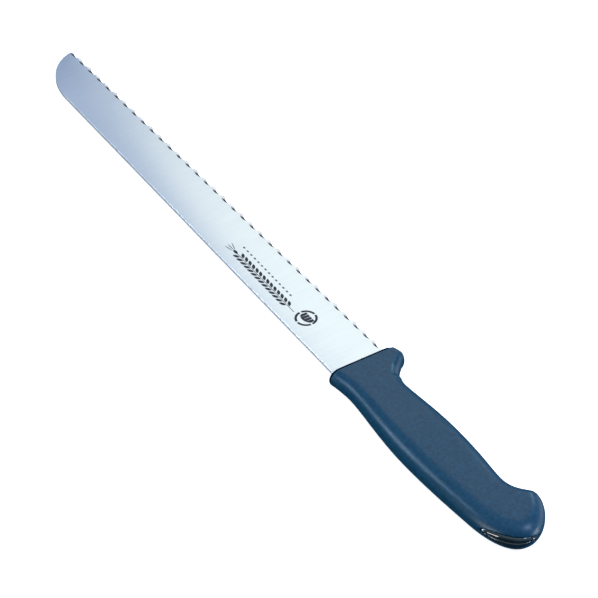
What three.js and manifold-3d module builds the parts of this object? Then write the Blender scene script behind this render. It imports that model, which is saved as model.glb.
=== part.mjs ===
// A bread knife: a scalloped stainless blade with a one-piece tang, two moulded core halves
// pegged together through the tang, and a grained grip moulded over the core.
//
// Knife axes, in millimetres: x runs from the bolster face (0) to the tip, y from the cutting
// edge up to the spine (0), and z across the thickness, from the mid-plane. The scallops are
// ground on the +z face. The last lines lay the finished knife on its flat side, on z = 0.
import * as THREE from "three";
import { mergeVertices } from "three/addons/utils/BufferGeometryUtils.js";
import Module from "manifold-3d";

const wasm = await Module();
wasm.setup();

const GAP = 0.3; // clearance left between pieces that touch
const MIDDLE = new THREE.Vector3(0, 0, 1); // the direction across the knife

// Blade
const BLADE_LENGTH = 260;
const BLADE_THICKNESS = 1.8;
const HEEL_HEIGHT = 29.3; // spine to tooth points at the bolster
const TIP_HEIGHT = 22; // spine to tooth points at the tip
const TIP_SWEEP = 27; // length over which the spine sweeps down to the tip
const HEEL_BURIED = 4; // full-height blade inside the bolster
const EDGE_SLOPE = (HEEL_HEIGHT - TIP_HEIGHT) / BLADE_LENGTH;

// Scallops, each left by a grinding wheel held at a slant
const SCALLOPS = 34;
const SCALLOP_PITCH = 7.57;
const FIRST_SCALLOP = 2.5; // from the tip to the middle of the first scallop
const WHEEL_RADIUS = 7.3;
const WHEEL_SLANT = THREE.MathUtils.degToRad(48); // wheel axis away from the blade's normal
const POINT_RELIEF = 0.1; // tooth points behind the plain heel
const WHEEL_SIDES = 40;

// Tang, cut from the same plate as the blade
const TANG_END = -103;
const TANG_TOP = [-4, -5.5]; // y at the bolster and near the end
const TANG_BOTTOM = [-19, -16.5];
const TANG_FILLET = 3;
const PEG_PLACES = [-27, -53, -79];
const PEG_Y = -11;
const PEG_HOLE_RADIUS = 3.3;

// Handle
const HANDLE_LENGTH = 134.4;
const HALF_THICKNESS = 7.6; // from the palm swell to the butt
const FRONT_THINNING = 2.6; // how much thinner each side is at the bolster
const THIN_REACH = 52; // length of the straight taper from the bolster
const ROUND_MARGIN = 0.1; // the section's side rounds are this much short of a half circle
const FRONT_ROUNDING = 0.8; // round of the bolster's front edges
const GUARD_ROUND = 2; // width of the guard's side rounds
const GUARD_ROUND_FADE = [-4, -15]; // where the guard's rounds widen into the grip's
const RING_STEPS = 14; // facets from the spine side to the edge side, on each face
const SPINE_SIDE = [
  [[0, 4], [-2, 3.5], [-7.5, 2.2], [-14.5, 2.15]], // bolster
  [[-14.5, 2.15], [-26, 2.3], [-40, 5.05], [-60, 5.05]], // palm swell
  [[-60, 5.05], [-78, 5.05], [-96, 3.45], [-108, 2.45]],
  [[-108, 2.45], [-123, 1.2], [-134.4, -3.5], [-134.4, -13.5]], // butt
];
const EDGE_SIDE = [
  [[0, -29.1], [0, -31.1], [-1.7, -31.2], [-4.1, -31.7]], // guard
  [[-4.1, -31.7], [-7.1, -32.7], [-7.7, -32.3], [-8.9, -29.8]],
  [[-8.9, -29.8], [-11.4, -27.5], [-13.2, -24.9], [-17.3, -23]], // finger notch
  [[-17.3, -23], [-19.8, -23.7], [-19.6, -21.9], [-25.4, -22.3]],
  [[-25.4, -22.3], [-36, -23], [-47, -24.95], [-64, -24.95]], // belly
  [[-64, -24.95], [-82, -24.95], [-88, -23.75], [-96, -23.5]],
  [[-96, -23.5], [-103.5, -23.35], [-106.2, -25.2], [-110, -28.8]], // hook for the little finger
  [[-110, -28.8], [-111.5, -30.4], [-112.8, -31.1], [-115, -31.1]],
  [[-115, -31.1], [-122.6, -30.7], [-134.4, -22.1], [-134.4, -13.5]],
];

// Core, inside the grip and open to the butt
const CORE_FRONT = -20;
const CORE_BACK = -119;
const CORE_TOP = -2.5;
const CORE_BOTTOM = -19.5;
const CORE_HALF_THICKNESS = 3.9;
const CORE_CORNER = 5;
const WINDOW_ENDS = [[-116.5, 1.3], [-133.1, -18.4]]; // where the core shows, along the butt
const WINDOW_HALF_WIDTH = 2.9;
const WINDOW_FULLNESS = 0.7; // how blunt the window's ends are, from 0 to 1
const WINDOW_ROOT = 7; // how far in the window's neck starts
const WINDOW_OUT = 20; // long enough to pass through the outer surface
const PEG_RADIUS = PEG_HOLE_RADIUS - GAP;
const PEG_REACH = 2.9; // how far the pegs stand past the mid-plane

const steel = new THREE.MeshStandardMaterial({ color: 0xd5dae2, roughness: 0.3, metalness: 1 });
const gripPlastic = new THREE.MeshStandardMaterial({ color: 0x23384a, roughness: 0.5 });
const corePlastic = new THREE.MeshStandardMaterial({ color: 0x16242f, roughness: 0.12 });

// A closed geometry as a manifold solid.
function solid(geometry) {
  const plain = geometry.index ? geometry.toNonIndexed() : geometry.clone();
  plain.deleteAttribute("normal");
  plain.deleteAttribute("uv");
  const merged = mergeVertices(plain, 1e-4);
  return new wasm.Manifold(
    new wasm.Mesh({
      numProp: 3,
      vertProperties: new Float32Array(merged.attributes.position.array),
      triVerts: new Uint32Array(merged.index.array),
    }),
  );
}

// A manifold solid as a named three.js mesh.
function piece(name, body, material) {
  const mesh = body.getMesh();
  const geometry = new THREE.BufferGeometry();
  geometry.setAttribute("position", new THREE.BufferAttribute(mesh.vertProperties, 3));
  geometry.setIndex(new THREE.BufferAttribute(mesh.triVerts, 1));
  const result = new THREE.Mesh(geometry, material);
  result.name = name;
  return result;
}

function box(xFrom, xTo, yFrom, yTo, zFrom, zTo) {
  const geometry = new THREE.BoxGeometry(xTo - xFrom, yTo - yFrom, zTo - zFrom);
  geometry.translate((xFrom + xTo) / 2, (yFrom + yTo) / 2, (zFrom + zTo) / 2);
  return solid(geometry);
}

// A round bar across the knife, between two heights.
function crossBar(x, y, radius, zFrom, zTo) {
  const geometry = new THREE.CylinderGeometry(radius, radius, zTo - zFrom, 28);
  geometry.rotateX(Math.PI / 2);
  geometry.translate(x, y, (zFrom + zTo) / 2);
  return solid(geometry);
}

// An outline in the knife's plane, made as thick as asked and centred on the mid-plane.
function plate(shape, thickness, curveSegments = 12) {
  const geometry = new THREE.ExtrudeGeometry(shape, {
    depth: thickness,
    bevelEnabled: false,
    curveSegments,
  });
  geometry.translate(0, 0, -thickness / 2);
  return solid(geometry);
}

// ---- Blade and tang ----

function bladeOutline() {
  const heelY = -HEEL_HEIGHT - EDGE_SLOPE * HEEL_BURIED;
  const outline = new THREE.Shape();
  outline.moveTo(-HEEL_BURIED, heelY);
  outline.lineTo(BLADE_LENGTH, -TIP_HEIGHT);
  outline.absellipse(
    BLADE_LENGTH - TIP_SWEEP, -TIP_HEIGHT, TIP_SWEEP, TIP_HEIGHT, 0, Math.PI / 2, false, 0,
  );
  outline.lineTo(-HEEL_BURIED, 0);
  return outline;
}

function tangOutline(grow) {
  const endRadius = (TANG_TOP[1] - TANG_BOTTOM[1]) / 2;
  const endX = TANG_END + endRadius;
  const endY = (TANG_TOP[1] + TANG_BOTTOM[1]) / 2;
  const outline = new THREE.Shape();
  outline.moveTo(-HEEL_BURIED + 1, TANG_TOP[0] + grow);
  outline.lineTo(endX, TANG_TOP[1] + grow);
  outline.absarc(endX, endY, endRadius + grow, Math.PI / 2, (3 * Math.PI) / 2, false);
  outline.lineTo(-HEEL_BURIED + 1, TANG_BOTTOM[0] - grow);
  return outline;
}

// The round inside corner where the tang leaves the heel, above or below the tang.
function heelFillet(tangY, side) {
  const centreX = -HEEL_BURIED - TANG_FILLET;
  const centreY = tangY + side * TANG_FILLET;
  const outline = new THREE.Shape();
  outline.moveTo(centreX, tangY - side);
  outline.lineTo(-HEEL_BURIED + 1, tangY - side);
  outline.lineTo(-HEEL_BURIED + 1, centreY);
  outline.lineTo(-HEEL_BURIED, centreY);
  outline.absarc(centreX, centreY, TANG_FILLET, 0, -side * (Math.PI / 2), side > 0);
  return outline;
}

// The grinding wheel where it leaves scallop number i, counted from the tip.
function grindingWheel(i) {
  const x = BLADE_LENGTH - FIRST_SCALLOP - i * SCALLOP_PITCH;
  const halfPitch = SCALLOP_PITCH / 2;
  const slantLength = 1 / Math.cos(WHEEL_SLANT);
  // The tooth points lie on the far face, where neighbouring wheels cross.
  const pointY = -HEEL_HEIGHT + EDGE_SLOPE * x + POINT_RELIEF;
  const axisToPoint = Math.sqrt(WHEEL_RADIUS ** 2 - halfPitch ** 2) * slantLength;
  const axisY = pointY - axisToPoint + (BLADE_THICKNESS / 2) * Math.tan(WHEEL_SLANT);
  const geometry = new THREE.CylinderGeometry(WHEEL_RADIUS, WHEEL_RADIUS, 4 * WHEEL_RADIUS, WHEEL_SIDES);
  geometry.rotateX(Math.PI / 2 - WHEEL_SLANT);
  geometry.translate(x, axisY, 0);
  return solid(geometry);
}

function blade() {
  let body = plate(bladeOutline(), BLADE_THICKNESS, 20);
  body = body.add(plate(tangOutline(0), BLADE_THICKNESS));
  body = body.add(plate(heelFillet(TANG_TOP[0], 1), BLADE_THICKNESS, 6));
  body = body.add(plate(heelFillet(TANG_BOTTOM[0], -1), BLADE_THICKNESS, 6));
  for (let i = 0; i < SCALLOPS; i++) body = body.subtract(grindingWheel(i));
  for (const x of PEG_PLACES) {
    body = body.subtract(crossBar(x, PEG_Y, PEG_HOLE_RADIUS, -2, 2));
  }
  return body;
}

// ---- Handle surface ----

const asCurves = (pieces) =>
  pieces.map((p) => new THREE.CubicBezierCurve(...p.map(([x, y]) => new THREE.Vector2(x, y))));
const spineSide = asCurves(SPINE_SIDE);
const edgeSide = asCurves(EDGE_SIDE);
const spinePoints = spineSide.flatMap((curve) => curve.getPoints(60));
const edgePoints = edgeSide.flatMap((curve) => curve.getPoints(60));

// The height of one side of the outline at x. Each curve runs steadily towards the butt.
function sideAt(side, x) {
  const curve = side.find((c) => x >= c.v3.x) ?? side[side.length - 1];
  let from = 0;
  let to = 1;
  for (let i = 0; i < 40; i++) {
    const middle = (from + to) / 2;
    if (curve.getPoint(middle).x > x) from = middle;
    else to = middle;
  }
  return curve.getPoint(from).y;
}

// The nearest point of one side of the outline, and how far away it is.
function nearestOn(points, x, y) {
  let nearest = points[0];
  let distance = Infinity;
  for (const p of points) {
    const d = Math.hypot(p.x - x, p.y - y);
    if (d < distance) [nearest, distance] = [p, d];
  }
  return { nearest, distance };
}

function halfThicknessAt(x) {
  const towardsFront = 1 - Math.min(-x / THIN_REACH, 1);
  return HALF_THICKNESS - FRONT_THINNING * towardsFront;
}

// Width of the side round that starts from x on the edge side of the outline.
function edgeRoundAt(x, fullRound) {
  const [from, to] = GUARD_ROUND_FADE;
  return THREE.MathUtils.lerp(GUARD_ROUND, fullRound, THREE.MathUtils.smoothstep(-x, -from, -to));
}

// Height of the surface above the mid-plane: flat inside, and a quarter round along the outline.
function surfaceHeight(x, y) {
  const halfThickness = halfThicknessAt(x);
  const fullRound = halfThickness - ROUND_MARGIN;
  const fromSpine = nearestOn(spinePoints, x, y).distance / fullRound;
  const edge = nearestOn(edgePoints, x, y);
  const fromEdge = edge.distance / edgeRoundAt(edge.nearest.x, fullRound);
  const inward = Math.min(fromSpine, fromEdge, 1);
  return halfThickness * Math.sqrt(1 - (1 - inward) ** 2);
}

// One closed ring of points round the handle at x.
function ring(x) {
  const top = sideAt(spineSide, x);
  const bottom = sideAt(edgeSide, x);
  const centre = (top + bottom) / 2;
  const half = (top - bottom) / 2;
  const along = Math.max(0, x / FRONT_ROUNDING + 1);
  const inset = FRONT_ROUNDING * (1 - Math.sqrt(1 - along ** 2));
  const points = [];
  for (let k = 0; k < 2 * RING_STEPS; k++) {
    const angle = (Math.PI * k) / RING_STEPS;
    const y = centre + half * Math.cos(angle);
    const onOutline = k % RING_STEPS === 0;
    const z = onOutline ? 0 : Math.sign(Math.sin(angle)) * surfaceHeight(x, y);
    const y2 = centre + (y - centre) * (1 - inset / half);
    points.push(new THREE.Vector3(x, y2, z * (1 - inset / halfThicknessAt(x))));
  }
  return points;
}

// Where the rings stand: close together at the guard and the butt, where the outline turns.
function ringPlaces() {
  const places = [];
  for (let k = 0; k < 5; k++) places.push(-FRONT_ROUNDING * (1 - Math.cos((Math.PI * k) / 10)));
  for (let x = -2.4; x > -24; x -= 0.9) places.push(x);
  for (let x = -25; x > -98; x -= 9) places.push(x);
  const last = places[places.length - 1];
  for (let k = 1; k < 22; k++) {
    places.push(last - (HANDLE_LENGTH + last) * Math.sin((Math.PI * k) / 44));
  }
  return places;
}

function handleBody() {
  const rings = ringPlaces().map(ring);
  const count = 2 * RING_STEPS;
  const points = rings.flat();
  const front = points.push(averageOf(rings[0])) - 1;
  const butt = points.push(new THREE.Vector3(-HANDLE_LENGTH, spineSide.at(-1).v3.y, 0)) - 1;
  const faces = [];
  const last = (rings.length - 1) * count;
  for (let k = 0; k < count; k++) {
    const next = (k + 1) % count;
    faces.push(front, k, next);
    faces.push(butt, last + next, last + k);
    for (let r = 0; r < rings.length - 1; r++) {
      const here = r * count;
      const there = here + count;
      faces.push(here + k, there + k, there + next);
      faces.push(here + k, there + next, here + next);
    }
  }
  const geometry = new THREE.BufferGeometry().setFromPoints(points);
  geometry.setIndex(faces);
  return solid(geometry);
}

function averageOf(points) {
  const sum = new THREE.Vector3();
  for (const p of points) sum.add(p);
  return sum.divideScalar(points.length);
}

// ---- Core ----

// The core's body round the tang, without its halves parted.
function coreBlock(grow) {
  const r = CORE_CORNER + grow;
  const left = CORE_BACK - grow + r;
  const right = CORE_FRONT + grow - r;
  const top = CORE_TOP + grow - r;
  const bottom = CORE_BOTTOM - grow + r;
  const outline = new THREE.Shape();
  outline.absarc(right, bottom, r, -Math.PI / 2, 0, false);
  outline.absarc(right, top, r, 0, Math.PI / 2, false);
  outline.absarc(left, top, r, Math.PI / 2, Math.PI, false);
  outline.absarc(left, bottom, r, Math.PI, (3 * Math.PI) / 2, false);
  return plate(outline, 2 * (CORE_HALF_THICKNESS + grow), 6);
}

// The neck that carries the core out to the lens-shaped window in the butt.
function windowNeck(grow) {
  const [from, to] = WINDOW_ENDS.map(([x, y]) => new THREE.Vector3(x, y, 0));
  const along = to.clone().sub(from);
  const halfLength = along.length() / 2 + grow;
  along.normalize();
  const outward = along.clone().cross(MIDDLE);
  const halfWidth = WINDOW_HALF_WIDTH + grow;
  const lens = new THREE.Shape();
  lens.moveTo(-halfLength, 0);
  const handleX = WINDOW_FULLNESS * halfLength;
  const handleY = (halfWidth * 4) / 3;
  lens.bezierCurveTo(-handleX, -handleY, handleX, -handleY, halfLength, 0);
  lens.bezierCurveTo(handleX, handleY, -handleX, handleY, -halfLength, 0);
  const geometry = new THREE.ExtrudeGeometry(lens, {
    depth: WINDOW_ROOT + WINDOW_OUT,
    bevelEnabled: false,
    curveSegments: 10,
  });
  geometry.translate(0, 0, -WINDOW_ROOT);
  geometry.applyMatrix4(new THREE.Matrix4().makeBasis(along, MIDDLE, outward));
  const centre = from.add(to).divideScalar(2);
  geometry.translate(centre.x, centre.y, 0);
  return solid(geometry);
}

// One half of the core. The right half carries the pegs, and the left half their sockets.
function coreHalf(side, handle) {
  const reach = 20;
  const whole = coreBlock(0).add(windowNeck(0)).intersect(handle);
  const zs = [(side * GAP) / 2, side * reach].sort((a, b) => a - b);
  let half = whole.intersect(box(-HANDLE_LENGTH - reach, 0, -60, reach, ...zs));
  half = half.subtract(plate(tangOutline(GAP), BLADE_THICKNESS + 2 * GAP));
  for (const x of PEG_PLACES) {
    if (side > 0) half = half.add(crossBar(x, PEG_Y, PEG_RADIUS, -PEG_REACH, 2));
    else half = half.subtract(crossBar(x, PEG_Y, PEG_HOLE_RADIUS, -PEG_REACH - GAP, 2));
  }
  return half;
}

// ---- Grip ----

function grip(handle) {
  const heelBottom = -HEEL_HEIGHT - EDGE_SLOPE * HEEL_BURIED - GAP;
  const slotHalf = BLADE_THICKNESS / 2 + GAP;
  const body = handle
    .subtract(coreBlock(GAP))
    .subtract(windowNeck(GAP))
    .subtract(box(-HEEL_BURIED - GAP - TANG_FILLET, 1, heelBottom, GAP, -slotHalf, slotHalf))
    .subtract(plate(tangOutline(GAP), 2 * slotHalf));
  // The window's edge can cut a crumb off a facet of the butt, so only the largest body is kept.
  return body.decompose().sort((a, b) => b.volume() - a.volume())[0];
}

// ---- The assembled knife ----

const handle = handleBody();
const knife = new THREE.Group();
knife.add(piece("blade", blade(), steel));
knife.add(piece("core_right", coreHalf(1, handle), corePlastic));
knife.add(piece("core_left", coreHalf(-1, handle), corePlastic));
knife.add(piece("grip", grip(handle), gripPlastic));

// The knife lies on its left side, centred over the origin.
const extent = new THREE.Box3().setFromObject(knife);
const middle = extent.getCenter(new THREE.Vector3());
knife.position.set(-middle.x, -middle.y, -extent.min.z);

const breadKnife = new THREE.Group();
breadKnife.add(knife);
export default breadKnife;
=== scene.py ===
"""The looks of a bread knife: a satin steel blade with ground scallops, a grained plastic grip,
and the gloss core that shows along the butt.

Lengths are in millimetres on the knife's own axes until a mesh is made: x runs from the bolster
face (0) to the tip, y from the cutting edge up to the spine (0), and z across the thickness, from
the mid-plane. The scallops are ground on the +z face, which looks up.
"""
import math

import bpy
import numpy as np
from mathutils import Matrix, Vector


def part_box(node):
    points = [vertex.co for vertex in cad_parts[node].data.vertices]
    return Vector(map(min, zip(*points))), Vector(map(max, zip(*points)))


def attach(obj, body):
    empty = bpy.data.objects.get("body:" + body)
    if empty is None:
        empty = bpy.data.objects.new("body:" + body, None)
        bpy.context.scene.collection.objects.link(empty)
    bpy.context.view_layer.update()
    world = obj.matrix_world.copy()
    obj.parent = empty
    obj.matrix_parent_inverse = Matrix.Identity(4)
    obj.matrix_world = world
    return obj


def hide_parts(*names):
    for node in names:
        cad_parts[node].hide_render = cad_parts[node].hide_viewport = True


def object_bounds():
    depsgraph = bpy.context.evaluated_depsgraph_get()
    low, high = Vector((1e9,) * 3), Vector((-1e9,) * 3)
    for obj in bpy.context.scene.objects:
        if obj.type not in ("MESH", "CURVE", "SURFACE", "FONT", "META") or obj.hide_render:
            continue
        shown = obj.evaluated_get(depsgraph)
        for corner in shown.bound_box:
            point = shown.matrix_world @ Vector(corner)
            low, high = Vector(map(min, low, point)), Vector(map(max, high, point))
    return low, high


MM = 0.001

# Blade
BLADE_LENGTH = 260.0
HALF_PLATE = 0.9
HEEL_HEIGHT = 29.3
TIP_HEIGHT = 22.0
TIP_SWEEP = 27.0
HEEL_BURIED = 4.0  # how far the heel runs back inside the grip
EDGE_SLOPE = (HEEL_HEIGHT - TIP_HEIGHT) / BLADE_LENGTH
OUTLINE_STEPS = 160
SPINE_ROUND = 0.22
SPINE_ROUND_FADE = 1.5  # length over which the spine's round dies out at the tip
ROUND_STEPS = 3
SCALLOPS = 34
SCALLOP_PITCH = 7.57
FIRST_SCALLOP = 2.5
WHEEL_RADIUS = 7.3
WHEEL_SLANT = math.radians(48)
POINT_RELIEF = 0.1
GROUND_STEPS = 3
HEEL_COLUMNS = 11
COLUMNS_PER_SCALLOP = 14
WELD = 0.002

# Tang
TANG_END = -103.0
TANG_TOP = (-4.0, -5.5)
TANG_BOTTOM = (-19.0, -16.5)
TANG_FILLET = 3.0
TANG_INSET = 0.02  # the tang lies this far inside the plate's faces, so that the join is clean
JOIN = 1.0  # overlap between solids that are joined
PEG_PLACES = (-27.0, -53.0, -79.0)
PEG_Y = -11.0
PEG_HOLE_RADIUS = 3.3
PEG_SIDES = 24

# Handle
HANDLE_LENGTH = 134.4
HALF_THICKNESS = 7.6
FRONT_THINNING = 2.6
THIN_REACH = 64.0
THIN_POWER = 1.5
ROUND_MARGIN = 0.1
FRONT_ROUNDING = 0.8
GUARD_ROUND = 2.0
GUARD_ROUND_FADE = (-4.0, -15.0)
RING_STEPS = 36
FRONT_RINGS = 8
GUARD_RINGS = (-1.3, -26, -0.4)  # from, to and step
BELLY_RINGS = (-26, -98, -1.0)
BUTT_RINGS = 72
BUTT_CLOSE = 0.99995  # the last ring stands just short of the butt's end
CURVE_STEPS = 200
SPINE_SIDE = (
    ((0, 4), (-2, 3.5), (-7.5, 2.2), (-14.5, 2.15)),
    ((-14.5, 2.15), (-26, 2.3), (-40, 5.05), (-60, 5.05)),
    ((-60, 5.05), (-78, 5.05), (-96, 3.45), (-108, 2.45)),
    ((-108, 2.45), (-123, 1.2), (-134.4, -3.5), (-134.4, -13.5)),
)
EDGE_SIDE = (
    ((0, -29.1), (0, -31.1), (-1.7, -31.2), (-4.1, -31.7)),
    ((-4.1, -31.7), (-7.1, -32.7), (-7.7, -32.3), (-8.9, -29.8)),
    ((-8.9, -29.8), (-11.4, -27.5), (-13.2, -24.9), (-17.3, -23)),
    ((-17.3, -23), (-19.8, -23.7), (-19.6, -21.9), (-25.4, -22.3)),
    ((-25.4, -22.3), (-36, -23), (-47, -24.95), (-64, -24.95)),
    ((-64, -24.95), (-82, -24.95), (-88, -23.75), (-96, -23.5)),
    ((-96, -23.5), (-103.5, -23.35), (-106.2, -25.2), (-110, -28.8)),
    ((-110, -28.8), (-111.5, -30.4), (-112.8, -31.1), (-115, -31.1)),
    ((-115, -31.1), (-122.6, -30.7), (-134.4, -22.1), (-134.4, -13.5)),
)
GRIP_VOXEL = 0.36
GRIP_SMOOTHING = 4
SHADED_RIM_DEPTH = 1.5  # depth of the bolster's front rim that is painted dark as a shade line

# Core
GAP = 0.3
CORE_FRONT = -20.0
CORE_BACK = -119.0
CORE_TOP = -2.5
CORE_BOTTOM = -19.5
CORE_HALF_THICKNESS = 3.9
CORE_CORNER = 5.0
WINDOW_ENDS = ((-116.5, 1.3), (-133.1, -18.4))
WINDOW_HALF_WIDTH = 2.9
WINDOW_FULLNESS = 0.7  # how blunt the window's ends are
WINDOW_STEPS = 33
WINDOW_ROOT = 7.0
WINDOW_OUT = 20.0
PEG_RADIUS = PEG_HOLE_RADIUS - GAP
PEG_REACH = 2.9
CORE_VOXEL = 0.3
CORE_SMOOTHING = 7
CROWN = 0.45
CROWN_DEPTH = 3.0  # the crown dies out this far behind the window
THINNEST_BAND = 0.4
BEYOND = 30.0  # reaches past the handle on every side

# Mark etched on the blade: an ear of wheat, a row of lozenges and a loaf in a ring
MARK_RISE = 0.012
EAR_START = 52.0
EAR_Y = -7.5
EAR_GRAINS = 14
EAR_PITCH = 3.0
STEM_LENGTH = 6.0
STEM_WIDTH = 0.32
TIP_GRAIN_GAP = 1.2
AWN_TURNS = (-14, 0, 14)
AWN_REACH = 4.0
AWN_SPREAD = 1.3
AWN_SIZE = (5.5, 0.4)
GRAIN_LENGTH = 3.7
GRAIN_WIDTH = 1.55
GRAIN_OFFSET = 1.35
GRAIN_TURN = 28
LOZENGES = 14
LOZENGE_START = 56.5
LOZENGE_PITCH = 3.0
LOZENGE_Y = -12.4
LOZENGE_SIZE = (1.9, 1.0)
BADGE_PLACE = (39.5, -9.8)
BADGE_RADIUS = 5.3
BADGE_LINE = 1.15
BADGE_BREAK = 5  # degrees left open at each end of an arc
LOAF_EDGES = (-3.9, -2.1, -0.3, 1.5, 3.3)
LOAF_HALF_WIDTH = 4.2
LOAF_HEIGHT = 3.6
LOAF_BASE = -2.2
LOAF_WALL = 0.6
LOAF_SHOULDER = 0.05
LOAF_LEAN = 0.5
LOAF_SHIFT = -0.12
SLASH = 0.3

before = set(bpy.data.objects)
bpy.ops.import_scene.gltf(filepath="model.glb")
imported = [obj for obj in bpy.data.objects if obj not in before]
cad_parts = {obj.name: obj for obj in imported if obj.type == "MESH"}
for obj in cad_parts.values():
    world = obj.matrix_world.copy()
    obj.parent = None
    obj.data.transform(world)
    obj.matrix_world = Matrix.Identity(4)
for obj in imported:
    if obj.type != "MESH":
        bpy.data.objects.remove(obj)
cad_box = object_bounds()
blade_low, blade_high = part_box("blade")
ORIGIN = Vector((blade_low.x - TANG_END * MM, blade_high.y, (blade_low.z + blade_high.z) / 2))


# ---- Mesh helpers ----


def add_mesh(name, points, faces):
    """A mesh object from points in millimetres on the knife's axes."""
    mesh = bpy.data.meshes.new(name)
    placed = np.asarray(points, float) * MM + np.array(ORIGIN)
    mesh.from_pydata(placed.tolist(), [], [list(face) for face in faces])
    mesh.validate()
    obj = bpy.data.objects.new(name, mesh)
    bpy.context.scene.collection.objects.link(obj)
    return obj


def apply_modifiers(obj):
    """Replaces the object's mesh by what its modifiers make of it."""
    graph = bpy.context.evaluated_depsgraph_get()
    graph.update()
    old = obj.data
    obj.data = bpy.data.meshes.new_from_object(obj.evaluated_get(graph))
    obj.modifiers.clear()
    bpy.data.meshes.remove(old)


def combine(obj, other, operation):
    """Joins, cuts or intersects obj with other, which is used up."""
    modifier = obj.modifiers.new("combine", "BOOLEAN")
    modifier.operation = operation
    modifier.solver = "EXACT"
    modifier.object = other
    apply_modifiers(obj)
    bpy.data.objects.remove(other)


def copy_of(obj, name):
    copy = obj.copy()
    copy.data = obj.data.copy()
    copy.name = name
    bpy.context.scene.collection.objects.link(copy)
    return copy


def shade(obj, material, sharp_angle=None):
    mesh = obj.data
    mesh.materials.clear()
    mesh.materials.append(material)
    mesh.polygons.foreach_set("use_smooth", [True] * len(mesh.polygons))
    if sharp_angle is not None:
        mesh.set_sharp_from_angle(angle=math.radians(sharp_angle))
    mesh.update()


def merge_close(obj, distance):
    modifier = obj.modifiers.new("weld", "WELD")
    modifier.merge_threshold = distance * MM
    apply_modifiers(obj)


def extrude(name, outline, z_from, z_to):
    """A closed plate from an outline given anticlockwise as seen from +z."""
    count = len(outline)
    points = [(x, y, z_from) for x, y in outline] + [(x, y, z_to) for x, y in outline]
    faces = [range(count - 1, -1, -1), range(count, 2 * count)]
    for i in range(count):
        j = (i + 1) % count
        faces.append((i, j, count + j, count + i))
    return add_mesh(name, points, faces)


def block(name, x_from, x_to, y_from, y_to, z_from, z_to):
    outline = [(x_from, y_from), (x_to, y_from), (x_to, y_to), (x_from, y_to)]
    return extrude(name, outline, z_from, z_to)


def arc(x, y, radius, start, end, steps):
    """Points on a circle, with the angles in degrees."""
    angles = np.radians(np.linspace(start, end, steps + 1))
    return [(x + radius * math.cos(a), y + radius * math.sin(a)) for a in angles]


# ---- Blade ----


def scallop_lines(x):
    """The y of the ground face at the near and far faces of the plate, at each x."""
    index = np.clip(np.round((BLADE_LENGTH - FIRST_SCALLOP - x) / SCALLOP_PITCH), 0, SCALLOPS - 1)
    centre = BLADE_LENGTH - FIRST_SCALLOP - index * SCALLOP_PITCH
    offset = np.clip(np.abs(x - centre), 0, WHEEL_RADIUS * 0.999)
    slant = math.cos(WHEEL_SLANT)
    point_y = -HEEL_HEIGHT + EDGE_SLOPE * centre + POINT_RELIEF
    to_point = math.sqrt(WHEEL_RADIUS**2 - (SCALLOP_PITCH / 2) ** 2) / slant
    axis_y = point_y - to_point + HALF_PLATE * math.tan(WHEEL_SLANT)
    middle = axis_y + np.sqrt(WHEEL_RADIUS**2 - offset**2) / slant
    rise = HALF_PLATE * math.tan(WHEEL_SLANT)
    return middle + rise, middle - rise


def spine_outline():
    """The blade's upper outline from the heel to the tip."""
    angles = np.linspace(math.pi / 2, 0, OUTLINE_STEPS)
    sweep = np.stack(
        [
            BLADE_LENGTH - TIP_SWEEP + TIP_SWEEP * np.cos(angles),
            -TIP_HEIGHT + TIP_HEIGHT * np.sin(angles),
        ],
        axis=1,
    )
    return np.vstack([[(-HEEL_BURIED, 0.0)], sweep])


def along_outline(outline, shares):
    """Points and outward normals at shares of the outline's length, their places, and that length."""
    steps = np.linalg.norm(np.diff(outline, axis=0), axis=1)
    places = np.concatenate([[0], np.cumsum(steps)])
    wanted = np.asarray(shares) * places[-1]
    at = np.stack([np.interp(wanted, places, outline[:, k]) for k in (0, 1)], axis=1)
    middles = (places[:-1] + places[1:]) / 2
    normals = np.stack([-np.diff(outline[:, 1]), np.diff(outline[:, 0])], axis=1) / steps[:, None]
    out = np.stack([np.interp(wanted, middles, normals[:, k]) for k in (0, 1)], axis=1)
    return at, out / np.linalg.norm(out, axis=1)[:, None], wanted, places[-1]


def cut_outline_at_groove(outline, side):
    """The outline up to where the first scallop leaves it, on the near (0) or far (1) face."""
    groove = scallop_lines(outline[:, 0])[side]
    above = outline[:, 1] > groove
    last = int(np.nonzero(above)[0][-1])
    gap_here = outline[last, 1] - groove[last]
    gap_next = outline[last + 1, 1] - groove[last + 1]
    share = gap_here / (gap_here - gap_next)
    end = outline[last] + share * (outline[last + 1] - outline[last])
    return np.vstack([outline[: last + 1], [end]])


def edge_columns():
    """Where the blade's columns stand along the edge, with one at each tooth point."""
    first_point = BLADE_LENGTH - FIRST_SCALLOP - SCALLOP_PITCH / 2
    tooth_points = [first_point - i * SCALLOP_PITCH for i in range(SCALLOPS)][::-1]
    columns = list(np.linspace(-HEEL_BURIED, tooth_points[0], HEEL_COLUMNS + 1)[:-1])
    for near, far in zip(tooth_points, tooth_points[1:]):
        columns += list(np.linspace(near, far, COLUMNS_PER_SCALLOP + 1)[:-1])
    columns += list(np.linspace(tooth_points[-1], BLADE_LENGTH, COLUMNS_PER_SCALLOP))
    return np.array(columns)


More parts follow.
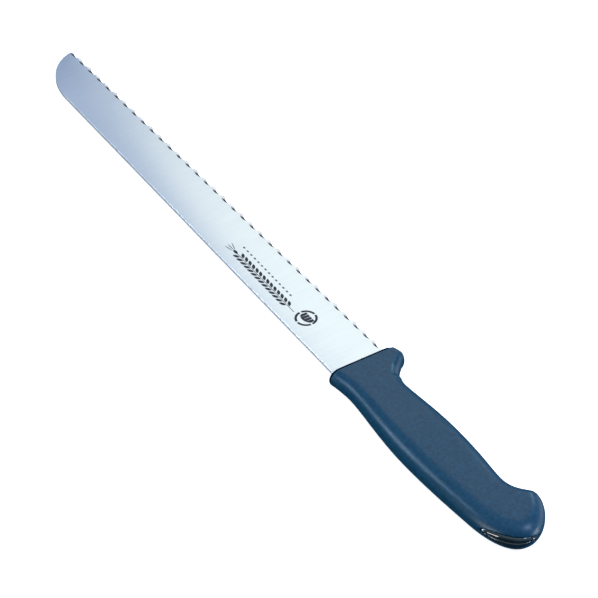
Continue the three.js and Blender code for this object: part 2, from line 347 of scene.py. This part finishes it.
def blade_body():
    """The blade in front of the tang: rings of points round the plate, from the heel to the tip."""
    outline = spine_outline()
    near_spine = cut_outline_at_groove(outline, 0)
    far_spine = cut_outline_at_groove(outline, 1)
    near_tip, far_tip = near_spine[-1], far_spine[-1]
    columns = edge_columns()
    shares = (columns - columns[0]) / (columns[-1] - columns[0])
    near_at, near_out, near_place, near_length = along_outline(near_spine, shares)
    far_at, far_out, _, _ = along_outline(far_spine, shares)
    near_x = np.minimum(columns, near_tip[0])
    far_x = np.minimum(columns, far_tip[0])
    plain_y = -HEEL_HEIGHT + EDGE_SLOPE * columns
    near_y = np.maximum(scallop_lines(near_x)[0], plain_y)
    far_y = scallop_lines(far_x)[1]
    near_y[-1], far_y[-1] = near_tip[1], far_tip[1]
    low_y = np.maximum(far_y, plain_y)
    low_z = -HALF_PLATE + np.clip((low_y - far_y) / math.tan(WHEEL_SLANT), 0, 2 * HALF_PLATE)
    radius = SPINE_ROUND * np.clip((near_length - near_place) / SPINE_ROUND_FADE, 0, 1)

    rings = []
    for i in range(len(columns)):
        ring = [(near_x[i], near_y[i], HALF_PLATE)]
        ring += spine_corner(near_at[i], near_out[i], radius[i], 1)
        ring += spine_corner(far_at[i], far_out[i], radius[i], -1)[::-1]
        ring.append((far_x[i], low_y[i], -HALF_PLATE))
        low = np.array([far_x[i], low_y[i], low_z[i]])
        high = np.array([near_x[i], near_y[i], HALF_PLATE])
        for k in range(GROUND_STEPS):
            ring.append(tuple(low + k / GROUND_STEPS * (high - low)))
        rings.append(ring)
    return loft("blade", rings)


def spine_corner(at, out, radius, side):
    """The rounded corner between the spine and the plate's face on this side, from the face outward."""
    points = []
    for k in range(ROUND_STEPS + 1):
        turn = math.pi / 2 * k / ROUND_STEPS
        x, y = at - out * radius * (1 - math.sin(turn))
        points.append((x, y, side * (HALF_PLATE - radius * (1 - math.cos(turn)))))
    return points


def loft(name, rings):
    """A closed body through rings of points, each anticlockwise as seen from the far end."""
    count = len(rings[0])
    points = [p for ring in rings for p in ring]
    faces = [range(count - 1, -1, -1)]
    for r in range(len(rings) - 1):
        for k in range(count):
            n = (k + 1) % count
            here, there = r * count, (r + 1) * count
            faces.append((here + k, here + n, there + n, there + k))
    faces.append(range((len(rings) - 1) * count, len(rings) * count))
    return add_mesh(name, points, faces)


def tang_outline(grow):
    """The tang with its round end, made larger all round by grow."""
    radius = (TANG_TOP[1] - TANG_BOTTOM[1]) / 2
    end_x = TANG_END + radius
    end_y = (TANG_TOP[1] + TANG_BOTTOM[1]) / 2
    start_x = -HEEL_BURIED + JOIN
    outline = [(start_x, TANG_BOTTOM[0] - grow), (start_x, TANG_TOP[0] + grow)]
    outline += arc(end_x, end_y, radius + grow, 90, 270, 16)
    return outline


def heel_fillet(tang_y, side):
    """The round inside corner where the tang leaves the heel."""
    centre_x = -HEEL_BURIED - TANG_FILLET
    centre_y = tang_y + side * TANG_FILLET
    start_x = -HEEL_BURIED + JOIN
    root_y = tang_y - side * JOIN
    outline = [(centre_x, root_y), (start_x, root_y), (start_x, centre_y)]
    outline += arc(centre_x, centre_y, TANG_FILLET, 0, -90 * side, 8)
    return outline if side > 0 else outline[::-1]


def peg_rod(name, x, radius, z_from, z_to):
    """A round rod at one of the peg places."""
    outline = arc(x, PEG_Y, radius, 0, 360 - 360 / PEG_SIDES, PEG_SIDES - 1)
    return extrude(name, outline, z_from, z_to)


def make_blade():
    blade = blade_body()
    merge_close(blade, WELD)
    inner = HALF_PLATE - TANG_INSET
    combine(blade, extrude("tang", tang_outline(0), -inner, inner), "UNION")
    combine(blade, extrude("fillet", heel_fillet(TANG_TOP[0], 1), -inner, inner), "UNION")
    combine(blade, extrude("fillet", heel_fillet(TANG_BOTTOM[0], -1), -inner, inner), "UNION")
    for x in PEG_PLACES:
        hole = peg_rod("hole", x, PEG_HOLE_RADIUS, -2, 2)
        combine(blade, hole, "DIFFERENCE")
    return blade


# ---- Handle ----


def bezier(points, count):
    t = np.linspace(0, 1, count)[:, None]
    a, b, c, d = (np.array(p, float) for p in points)
    return (1 - t) ** 3 * a + 3 * (1 - t) ** 2 * t * b + 3 * (1 - t) * t**2 * c + t**3 * d


def side_line(curves):
    return np.vstack([bezier(curve, CURVE_STEPS)[:-1] for curve in curves] + [[curves[-1][3]]])


def side_at(line, x):
    return np.interp(-x, -line[:, 0], line[:, 1])


def half_thickness_at(x):
    towards_front = 1 - np.minimum(-x / THIN_REACH, 1)
    return HALF_THICKNESS - FRONT_THINNING * towards_front**THIN_POWER


def edge_round_at(x, full_round):
    """Width of the side round that starts from x on the edge side of the outline."""
    start, end = GUARD_ROUND_FADE
    share = np.clip((start - x) / (start - end), 0, 1)
    return GUARD_ROUND + (full_round - GUARD_ROUND) * share * share * (3 - 2 * share)


def surface_height(x, y, spine, edge):
    """Height above the mid-plane: flat inside, and a quarter round along the outline."""
    thickness = half_thickness_at(x)
    full_round = thickness - ROUND_MARGIN
    from_spine = np.min(np.hypot(spine[:, 0] - x, spine[:, 1] - y[:, None]), axis=1) / full_round
    to_edge = np.hypot(edge[:, 0] - x, edge[:, 1] - y[:, None])
    width = edge_round_at(edge[np.argmin(to_edge, axis=1), 0], full_round)
    inward = np.minimum(np.minimum(from_spine, np.min(to_edge, axis=1) / width), 1)
    return thickness * np.sqrt(1 - (1 - inward) ** 2)


def ring_places():
    """Where the handle's rings stand: close together at the rim, the guard and the butt."""
    places = list(-FRONT_ROUNDING * (1 - np.cos(np.linspace(0, math.pi / 2, FRONT_RINGS))))
    places += list(np.arange(*GUARD_RINGS))
    places += list(np.arange(*BELLY_RINGS))
    last = places[-1]
    turn = np.linspace(0, math.pi / 2, BUTT_RINGS)[1:]
    places += list(last - (HANDLE_LENGTH + last) * np.sin(turn) * BUTT_CLOSE)
    return places


def handle_body():
    spine, edge = side_line(SPINE_SIDE), side_line(EDGE_SIDE)
    angles = np.arange(2 * RING_STEPS) * math.pi / RING_STEPS
    rings = []
    for x in ring_places():
        top, bottom = side_at(spine, x), side_at(edge, x)
        centre, half = (top + bottom) / 2, (top - bottom) / 2
        along = max(0.0, x / FRONT_ROUNDING + 1)
        inset = FRONT_ROUNDING * (1 - math.sqrt(1 - along**2))
        y = centre + half * np.cos(angles)
        height = surface_height(x, y, spine, edge)
        height[[0, RING_STEPS]] = 0
        z = np.sign(np.sin(angles)) * height * (1 - inset / half_thickness_at(x))
        y = centre + (y - centre) * (1 - inset / half)
        rings.append([(x, y[k], z[k]) for k in range(len(angles))])
    return loft("handle", rings[::-1])


def core_block(name, grow):
    """The core inside the grip, made larger all round by grow."""
    r = CORE_CORNER + grow
    left, right = CORE_BACK - grow + r, CORE_FRONT + grow - r
    top, bottom = CORE_TOP + grow - r, CORE_BOTTOM - grow + r
    outline = arc(right, bottom, r, -90, 0, 8) + arc(right, top, r, 0, 90, 8)
    outline += arc(left, top, r, 90, 180, 8) + arc(left, bottom, r, 180, 270, 8)
    reach = CORE_HALF_THICKNESS + grow
    return extrude(name, outline, -reach, reach)


def window_neck(name, grow):
    """The neck that carries the core out to the lens-shaped window in the butt."""
    start, end = (Vector((x, y, 0)) for x, y in WINDOW_ENDS)
    along = (end - start).normalized()
    across = Vector((0, 0, 1))
    outward = along.cross(across)
    half_length = (end - start).length / 2 + grow
    half_width = WINDOW_HALF_WIDTH + grow
    centre = (start + end) / 2
    handle_x, handle_y = WINDOW_FULLNESS * half_length, half_width * 4 / 3
    controls = [(-half_length, 0), (-handle_x, handle_y), (handle_x, handle_y), (half_length, 0)]
    upper = bezier(controls, WINDOW_STEPS)
    oval = np.vstack([upper, upper[-2:0:-1] * (1, -1)])
    count = len(oval)
    points = []
    for depth in (-WINDOW_ROOT, WINDOW_OUT):
        for a, c in oval:
            points.append(centre + along * a + across * c + outward * depth)
    faces = [range(count), range(2 * count - 1, count - 1, -1)]
    for i in range(count):
        j = (i + 1) % count
        faces.append((j, i, count + i, count + j))
    return add_mesh(name, [tuple(p) for p in points], faces)


def make_grip(handle):
    grip = copy_of(handle, "grip_body")
    heel_bottom = -HEEL_HEIGHT - EDGE_SLOPE * HEEL_BURIED - GAP
    slot = HALF_PLATE + GAP
    combine(grip, core_block("cut", GAP), "DIFFERENCE")
    combine(grip, window_neck("cut", GAP), "DIFFERENCE")
    back = -HEEL_BURIED - GAP - TANG_FILLET
    combine(grip, block("cut", back, 1, heel_bottom, GAP, -slot, slot), "DIFFERENCE")
    combine(grip, extrude("cut", tang_outline(GAP), -slot, slot), "DIFFERENCE")
    remesh(grip, GRIP_VOXEL, GRIP_SMOOTHING)
    return grip


def remesh(obj, voxel, smoothing):
    """An even mesh whose edges are softened as a mould leaves them."""
    modifier = obj.modifiers.new("remesh", "REMESH")
    modifier.mode = "VOXEL"
    modifier.voxel_size = voxel * MM
    smooth = obj.modifiers.new("smooth", "SMOOTH")
    smooth.factor = 0.5
    smooth.iterations = smoothing
    apply_modifiers(obj)


def make_core_half(name, side, handle):
    """One half of the core. The right half carries the pegs, and the left half their sockets."""
    half = core_block(name, 0)
    combine(half, window_neck("neck", 0), "UNION")
    combine(half, copy_of(handle, "limit"), "INTERSECT")
    z_from, z_to = sorted((side * GAP / 2, side * BEYOND))
    keep = block("side", -HANDLE_LENGTH - BEYOND, 0, -2 * BEYOND, BEYOND, z_from, z_to)
    combine(half, keep, "INTERSECT")
    slot = HALF_PLATE + GAP
    combine(half, extrude("tang", tang_outline(GAP), -slot, slot), "DIFFERENCE")
    for x in PEG_PLACES:
        if side > 0:
            peg = peg_rod("peg", x, PEG_RADIUS, -PEG_REACH, 2)
            combine(half, peg, "UNION")
        else:
            socket = peg_rod("socket", x, PEG_HOLE_RADIUS, -PEG_REACH - GAP, 2)
            combine(half, socket, "DIFFERENCE")
    remesh(half, CORE_VOXEL, CORE_SMOOTHING)
    crown_window(half)
    return half


def crown_window(half):
    """Draws the half's band in the butt back towards its two long edges, so that it is crowned."""
    start, end = (np.array(point) for point in WINDOW_ENDS)
    along = (end - start) / np.linalg.norm(end - start)
    outward = np.array([along[1], -along[0]])
    half_length = np.linalg.norm(end - start) / 2
    count = len(half.data.vertices)
    flat = np.empty(count * 3)
    half.data.vertices.foreach_get("co", flat)
    points = flat.reshape(-1, 3)
    local = (points - np.array(ORIGIN)) / MM
    place = local[:, :2] - (start + end) / 2
    share = np.clip(np.abs(place @ along) / half_length, 0, 1)
    band = WINDOW_HALF_WIDTH * (1 - share**2) / 2
    across = np.clip((np.abs(local[:, 2]) - band) / np.maximum(band, THINNEST_BAND), -1, 1)
    exposed = np.clip(place @ outward / CROWN_DEPTH + 1, 0, 1)
    points[:, :2] -= (CROWN * MM * exposed * across**2)[:, None] * outward
    half.data.vertices.foreach_set("co", points.ravel())


# ---- Mark ----


def lens(x, y, length, width, turn):
    """A pointed oval, turned by an angle in degrees."""
    shares = np.linspace(-1, 1, 9)
    upper = [(length / 2 * s, width / 2 * (1 - s * s)) for s in shares]
    lower = [(u, -v) for u, v in upper[1:-1]]
    cos, sin = math.cos(math.radians(turn)), math.sin(math.radians(turn))
    return [(x + u * cos - v * sin, y + u * sin + v * cos) for u, v in upper[::-1] + lower]


def bar(x_from, x_to, y, width):
    low, high = y - width / 2, y + width / 2
    return [(x_from, low), (x_to, low), (x_to, high), (x_from, high)]


def ear_of_wheat():
    """A stem with grains in two rows, one grain at the tip and three awns beyond it."""
    ear_end = EAR_START + EAR_GRAINS * EAR_PITCH
    shapes = [bar(EAR_START - STEM_LENGTH, ear_end, EAR_Y, STEM_WIDTH)]
    for i in range(EAR_GRAINS):
        x = EAR_START + i * EAR_PITCH
        for side, at in ((-1, x), (1, x + EAR_PITCH / 2)):
            y = EAR_Y + side * GRAIN_OFFSET
            shapes.append(lens(at, y, GRAIN_LENGTH, GRAIN_WIDTH, side * GRAIN_TURN))
    tip = ear_end + TIP_GRAIN_GAP
    shapes.append(lens(tip, EAR_Y, GRAIN_LENGTH, GRAIN_WIDTH, 0))
    for turn in AWN_TURNS:
        x = tip + AWN_REACH * math.cos(math.radians(turn))
        y = EAR_Y + AWN_REACH * AWN_SPREAD * math.sin(math.radians(turn))
        shapes.append(lens(x, y, *AWN_SIZE, turn))
    return shapes


def row_of_lozenges():
    half_length, half_width = LOZENGE_SIZE[0] / 2, LOZENGE_SIZE[1] / 2
    y = LOZENGE_Y
    shapes = []
    for i in range(LOZENGES):
        x = LOZENGE_START + i * LOZENGE_PITCH
        left, right = (x - half_length, y), (x + half_length, y)
        shapes.append([left, (x, y - half_width), right, (x, y + half_width)])
    return shapes


def ring_arcs(x, y, radius, line, pieces=4):
    """A ring drawn as a few arcs with small breaks between them."""
    shapes = []
    for i in range(pieces):
        start = 360 / pieces * i + BADGE_BREAK
        end = 360 / pieces * (i + 1) - BADGE_BREAK
        outer = arc(x, y, radius, start, end, 12)
        inner = arc(x, y, radius - line, start, end, 12)
        shapes.append(outer + inner[::-1])
    return shapes


def loaf(x, y):
    """A domed loaf parted by slashes, its flat side towards the edge."""
    base = y + LOAF_BASE
    shapes = []
    for left, right in zip(LOAF_EDGES, LOAF_EDGES[1:]):
        slice_outline = [(x + left + SLASH, base), (x + right, base)]
        for u in np.linspace(right, left, 5):
            rise = math.sqrt(max(LOAF_SHOULDER, 1 - (u / LOAF_HALF_WIDTH) ** 2))
            top_x = x + u + LOAF_LEAN * rise + LOAF_SHIFT
            slice_outline.append((top_x, base + LOAF_WALL + LOAF_HEIGHT * rise))
        shapes.append(slice_outline)
    return shapes


def make_mark():
    shapes = ear_of_wheat() + row_of_lozenges()
    shapes += ring_arcs(*BADGE_PLACE, BADGE_RADIUS, BADGE_LINE) + loaf(*BADGE_PLACE)
    points, faces = [], []
    for outline in shapes:
        start, count = len(points), len(outline)
        points += [(x, y, HALF_PLATE - MARK_RISE) for x, y in outline]
        points += [(x, y, HALF_PLATE + MARK_RISE) for x, y in outline]
        faces.append([start + i for i in range(count - 1, -1, -1)])
        faces.append([start + count + i for i in range(count)])
        for i in range(count):
            j = (i + 1) % count
            faces.append([start + i, start + j, start + count + j, start + count + i])
    return add_mesh("mark", points, faces)


# ---- Materials ----


class Nodes:
    """Shorthand for building one material's node tree."""

    def __init__(self, name):
        self.material = bpy.data.materials.new(name)
        self.material.use_nodes = True
        self.tree = self.material.node_tree
        self.tree.nodes.clear()
        self.shader = self.add("ShaderNodeBsdfPrincipled")
        output = self.add("ShaderNodeOutputMaterial")
        self.link(self.shader.outputs["BSDF"], output.inputs["Surface"])
        self.place = self.add("ShaderNodeTexCoord").outputs["Object"]

    def add(self, kind, **values):
        node = self.tree.nodes.new(kind)
        for key, value in values.items():
            setattr(node, key, value)
        return node

    def link(self, output, socket):
        self.tree.links.new(output, socket)

    def noise(self, scale, detail=2.0, stretch=(1, 1, 1), roughness=0.5):
        """Noise with this many cells a metre, along each axis as stretch says."""
        mapping = self.add("ShaderNodeMapping")
        mapping.inputs["Scale"].default_value = [scale * s for s in stretch]
        self.link(self.place, mapping.inputs["Vector"])
        node = self.add("ShaderNodeTexNoise")
        node.inputs["Scale"].default_value = 1.0
        node.inputs["Detail"].default_value = detail
        node.inputs["Roughness"].default_value = roughness
        self.link(mapping.outputs["Vector"], node.inputs["Vector"])
        return node.outputs["Fac"]

    def spread(self, source, low, high, start=0.3, end=0.7):
        """The source carried onto the range from low to high."""
        node = self.add("ShaderNodeMapRange")
        for key, value in (("From Min", start), ("From Max", end), ("To Min", low), ("To Max", high)):
            node.inputs[key].default_value = value
        self.link(source, node.inputs["Value"])
        return node.outputs["Result"]

    def colours(self, source, low, high, start=0.3, end=0.7):
        node = self.add("ShaderNodeValToRGB")
        ramp = node.color_ramp
        ramp.elements[0].position, ramp.elements[1].position = start, end
        ramp.elements[0].color = (*low, 1)
        ramp.elements[1].color = (*high, 1)
        self.link(source, node.inputs["Fac"])
        return node.outputs["Color"]

    def bump(self, source, height, strength=1.0, under=None):
        """A bump of this height in millimetres."""
        node = self.add("ShaderNodeBump")
        node.inputs["Strength"].default_value = strength
        node.inputs["Distance"].default_value = height * MM
        self.link(source, node.inputs["Height"])
        if under is not None:
            self.link(under, node.inputs["Normal"])
        return node.outputs["Normal"]

    def drive(self, key, output):
        self.link(output, self.shader.inputs[key])

    def keep(self, **values):
        for key, value in values.items():
            self.shader.inputs[key.replace("_", " ")].default_value = value


def satin_steel():
    """Rolled and finely ground stainless, with the grinding lines across the blade."""
    n = Nodes("satin_steel")
    n.keep(Metallic=1.0)
    lines = n.noise(1.0, 2.0, (5200, 90, 300), 0.6)
    strokes = n.noise(1.0, 3.0, (1100, 45, 200), 0.7)
    n.drive("Base Color", n.colours(strokes, (0.60, 0.66, 0.745), (0.64, 0.695, 0.775)))
    n.drive("Roughness", n.spread(lines, 0.30, 0.38))
    n.drive("Normal", n.bump(lines, 0.004, 0.35, n.bump(strokes, 0.004, 0.15)))
    return n.material


def ground_steel():
    """The scallops, left as the wheel leaves them."""
    n = Nodes("ground_steel")
    n.keep(Metallic=1.0)
    lines = n.noise(1.0, 2.0, (7000, 500, 500), 0.6)
    cloud = n.noise(160.0, 2.0)
    n.drive("Base Color", n.colours(cloud, (0.58, 0.61, 0.65), (0.68, 0.71, 0.75)))
    n.drive("Roughness", n.spread(lines, 0.16, 0.24))
    n.drive("Normal", n.bump(lines, 0.005, 0.4))
    return n.material


def blanked_steel():
    """The spine and the round of the tip, matt from the barrel that took their burr off."""
    n = Nodes("blanked_steel")
    n.keep(Metallic=1.0)
    grain = n.noise(1900.0, 3.0, roughness=0.6)
    n.drive("Base Color", n.colours(grain, (0.80, 0.80, 0.80), (0.90, 0.89, 0.87)))
    n.drive("Roughness", n.spread(grain, 0.58, 0.68))
    n.drive("Normal", n.bump(grain, 0.02, 0.4))
    return n.material


def etched_mark():
    n = Nodes("etched_mark")
    n.keep(Metallic=0.1, Specular_IOR_Level=0.2)
    grain = n.noise(4000.0, 2.0)
    n.drive("Base Color", n.colours(grain, (0.018, 0.018, 0.026), (0.045, 0.046, 0.058)))
    n.drive("Roughness", n.spread(grain, 0.5, 0.7))
    n.drive("Normal", n.bump(grain, 0.01, 0.5))
    return n.material


def grip_plastic():
    """Dark blue moulded plastic with a fine spark grain."""
    n = Nodes("grip_plastic")
    grain = n.noise(1700.0, 3.0, roughness=0.65)
    mottle = n.noise(620.0, 3.0, roughness=0.6)
    cloud = n.noise(60.0, 2.0)
    n.keep(Specular_IOR_Level=0.26)
    n.drive("Base Color", n.colours(mottle, (0.0, 0.032, 0.066), (0.004, 0.056, 0.108)))
    n.drive("Roughness", n.spread(cloud, 0.31, 0.37))
    n.drive("Normal", n.bump(grain, 0.05, 0.6, n.bump(mottle, 0.06, 0.5)))
    return n.material


def rim_painted_shade():
    """The bolster's front rim, painted near-black and without reflection: painted shade along the line
    where the blade enters.
    """
    n = Nodes("rim_painted_shade")
    grain = n.noise(2600.0, 3.0, roughness=0.6)
    n.keep(Specular_IOR_Level=0.0)
    n.drive("Base Color", n.colours(grain, (0.001, 0.006, 0.014), (0.003, 0.012, 0.024)))
    n.drive("Roughness", n.spread(grain, 0.6, 0.7))
    n.drive("Normal", n.bump(grain, 0.03, 0.4))
    return n.material


def core_plastic():
    """The core's gloss plastic, darker than the grip."""
    n = Nodes("core_plastic")
    n.keep(Specular_IOR_Level=1.0)
    swirl = n.noise(300.0, 2.0)
    n.drive("Base Color", n.colours(swirl, (0.001, 0.010, 0.014), (0.004, 0.020, 0.026)))
    n.drive("Roughness", n.spread(swirl, 0.10, 0.16))
    n.drive("Normal", n.bump(swirl, 0.03, 0.25))
    return n.material


def pale_floor():
    n = Nodes("pale_floor")
    grain = n.noise(900.0, 2.0)
    n.drive("Base Color", n.colours(grain, (0.90, 0.90, 0.90), (0.93, 0.93, 0.93)))
    n.keep(Roughness=0.9, Specular_IOR_Level=0.1, Emission_Color=(1, 1, 1, 1), Emission_Strength=0.8)
    return n.material


# ---- Pieces ----


def place_pieces():
    handle = handle_body()

    blade = make_blade()
    shade(blade, satin_steel(), 20)
    blade.data.materials.append(ground_steel())
    blade.data.materials.append(blanked_steel())
    sort_blade_faces(blade)
    finish_piece(blade, "blade_steel", "blade")

    mark = make_mark()
    shade(mark, etched_mark(), 20)
    finish_piece(mark, "blade_mark", None)

    grip = make_grip(handle)
    shade(grip, grip_plastic())
    grip.data.materials.append(rim_painted_shade())
    # faces within this depth of the bolster face take the painted shade of the front rim
    for face in grip.data.polygons:
        face.material_index = int((face.center.x - ORIGIN.x) / MM > -SHADED_RIM_DEPTH)
    finish_piece(grip, "grip_moulding", "grip")

    core_finish = core_plastic()
    for name, side in (("core_right", 1), ("core_left", -1)):
        half = make_core_half(name + "_half", side, handle)
        shade(half, core_finish, 30)
        finish_piece(half, name + "_moulding", name)
    bpy.data.objects.remove(handle)


def sort_blade_faces(blade):
    """Gives the ground faces, which look down and outward, and the spine their own finishes."""
    for face in blade.data.polygons:
        if face.normal.y < -0.15 and 0.25 < face.normal.z < 0.98:
            face.material_index = 1
        elif abs(face.normal.z) < 0.6 and face.normal.y > -0.15:
            face.material_index = 2


def finish_piece(obj, name, node):
    obj.name = name
    obj.data.name = name
    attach(obj, "root")
    if node:
        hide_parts(node)


# ---- Stage ----

CAMERA_AIM = (53.07, -14.75, 0.0)
CAMERA_AZIMUTH = 147.24
CAMERA_ELEVATION = 41.30
CAMERA_DISTANCE = 2.7095
CAMERA_LENS = 361.2

# Colours of the room from below (0) over the horizon (0.5) to overhead (1)
ROOM = (
    (0.42, (0.04, 0.05, 0.07)),
    (0.50, (0.13, 0.16, 0.21)),
    (0.72, (0.37, 0.46, 0.61)),
    (0.84, (0.41, 0.50, 0.67)),
    (1.0, (0.95, 1.05, 1.20)),
)
# A low glow on the edge side: its colour, then where it starts and is full along the axes
GLOW = (1.5, 1.5, 1.5)
GLOW_LIMITS = (("Y", -0.84, -0.95), ("Z", -0.38, -0.24), ("Z", 0.14, 0.04))


def knife_point(point):
    """A point on the knife's axes, in millimetres, as a place in the scene."""
    return ORIGIN + Vector(point) * MM


def direction(azimuth, elevation):
    """The unit vector that points this way, both angles in degrees."""
    a, e = math.radians(azimuth), math.radians(elevation)
    return Vector((math.cos(a) * math.cos(e), math.sin(a) * math.cos(e), math.sin(e)))


def add_camera():
    data = bpy.data.cameras.new("camera")
    data.lens = CAMERA_LENS
    data.sensor_width = 36
    data.clip_end = 50
    camera = bpy.data.objects.new("camera", data)
    back = direction(CAMERA_AZIMUTH, CAMERA_ELEVATION)
    camera.location = knife_point(CAMERA_AIM) + back * CAMERA_DISTANCE
    camera.rotation_euler = back.to_track_quat("Z", "Y").to_euler()
    bpy.context.scene.collection.objects.link(camera)
    bpy.context.scene.camera = camera


def add_softbox(name, aim, azimuth, elevation, distance, size, power, colour=(1, 1, 1)):
    data = bpy.data.lights.new(name, "AREA")
    data.shape = "RECTANGLE"
    data.size, data.size_y = size
    data.energy = power
    data.color = colour
    light = bpy.data.objects.new(name, data)
    light.visible_camera = False
    back = direction(azimuth, elevation)
    light.location = knife_point(aim) + back * distance
    light.rotation_euler = back.to_track_quat("Z", "Y").to_euler()
    bpy.context.scene.collection.objects.link(light)


def add_floor():
    size = 4000.0
    low = (cad_box[0].z - ORIGIN.z) / MM
    outline = [(-size, -size), (size, -size), (size, size), (-size, size)]
    floor = extrude("floor", outline, low - 5.0, low)
    shade(floor, pale_floor())
    floor.visible_diffuse = False
    floor.visible_glossy = False
    floor.visible_shadow = False


def add_world():
    """A pale room, brightest overhead and dim below the table, with a low glow on the edge side."""
    world = bpy.data.worlds.new("room")
    bpy.context.scene.world = world
    world.use_nodes = True
    tree = world.node_tree
    background = tree.nodes["Background"]
    place = tree.nodes.new("ShaderNodeTexCoord")
    split = tree.nodes.new("ShaderNodeSeparateXYZ")
    tree.links.new(place.outputs["Generated"], split.inputs["Vector"])

    def share(axis, start, end):
        node = tree.nodes.new("ShaderNodeMapRange")
        node.inputs["From Min"].default_value = start
        node.inputs["From Max"].default_value = end
        tree.links.new(split.outputs[axis], node.inputs["Value"])
        return node.outputs["Result"]

    ramp = tree.nodes.new("ShaderNodeValToRGB")
    tree.links.new(share("Z", -1, 1), ramp.inputs["Fac"])
    stops = ramp.color_ramp.elements
    stops[0].position, stops[0].color = ROOM[0][0], (*ROOM[0][1], 1)
    stops[1].position, stops[1].color = ROOM[-1][0], (*ROOM[-1][1], 1)
    for position, colour in ROOM[1:-1]:
        stops.new(position).color = (*colour, 1)

    glow, *limits = [share(*limit) for limit in GLOW_LIMITS]
    for limit in limits:
        product = tree.nodes.new("ShaderNodeMath")
        product.operation = "MULTIPLY"
        tree.links.new(glow, product.inputs[0])
        tree.links.new(limit, product.inputs[1])
        glow = product.outputs["Value"]
    mix = tree.nodes.new("ShaderNodeMix")
    mix.data_type = "RGBA"
    tree.links.new(glow, mix.inputs["Factor"])
    tree.links.new(ramp.outputs["Color"], mix.inputs["A"])
    mix.inputs["B"].default_value = (*GLOW, 1)
    tree.links.new(mix.outputs["Result"], background.inputs["Color"])


def add_lights():
    heel = (-40.0, -15.0, 1.0)
    grip_middle = (-70.0, -5.0, 5.0)
    guard = (-10.0, -25.0, 3.0)
    butt = (-128.0, -12.0, 2.0)
    add_softbox("blade_light", heel, -33, 41, 0.45, (0.30, 0.30), 0.32, (0.94, 0.88, 0.58))
    add_softbox("spine_light", grip_middle, 48, 18, 1.0, (0.22, 0.22), 3.2, (0.62, 0.80, 1.0))
    add_softbox("guard_light", guard, -66, 28, 0.7, (0.07, 0.14), 0.6, (0.70, 0.92, 1.0))
    add_softbox("corner_light", butt, -142, 46, 0.7, (0.26, 0.24), 3.4, (0.60, 0.70, 1.0))
    add_softbox("strip_light", butt, -128, -10, 0.7, (0.30, 0.22), 2.6, (0.85, 0.97, 1.0))
    add_softbox("butt_light", butt, 82, -4, 0.7, (0.28, 0.20), 2.0)


add_camera()
add_floor()
add_world()
add_lights()
place_pieces()

bpy.context.scene.view_settings.view_transform = "Standard"
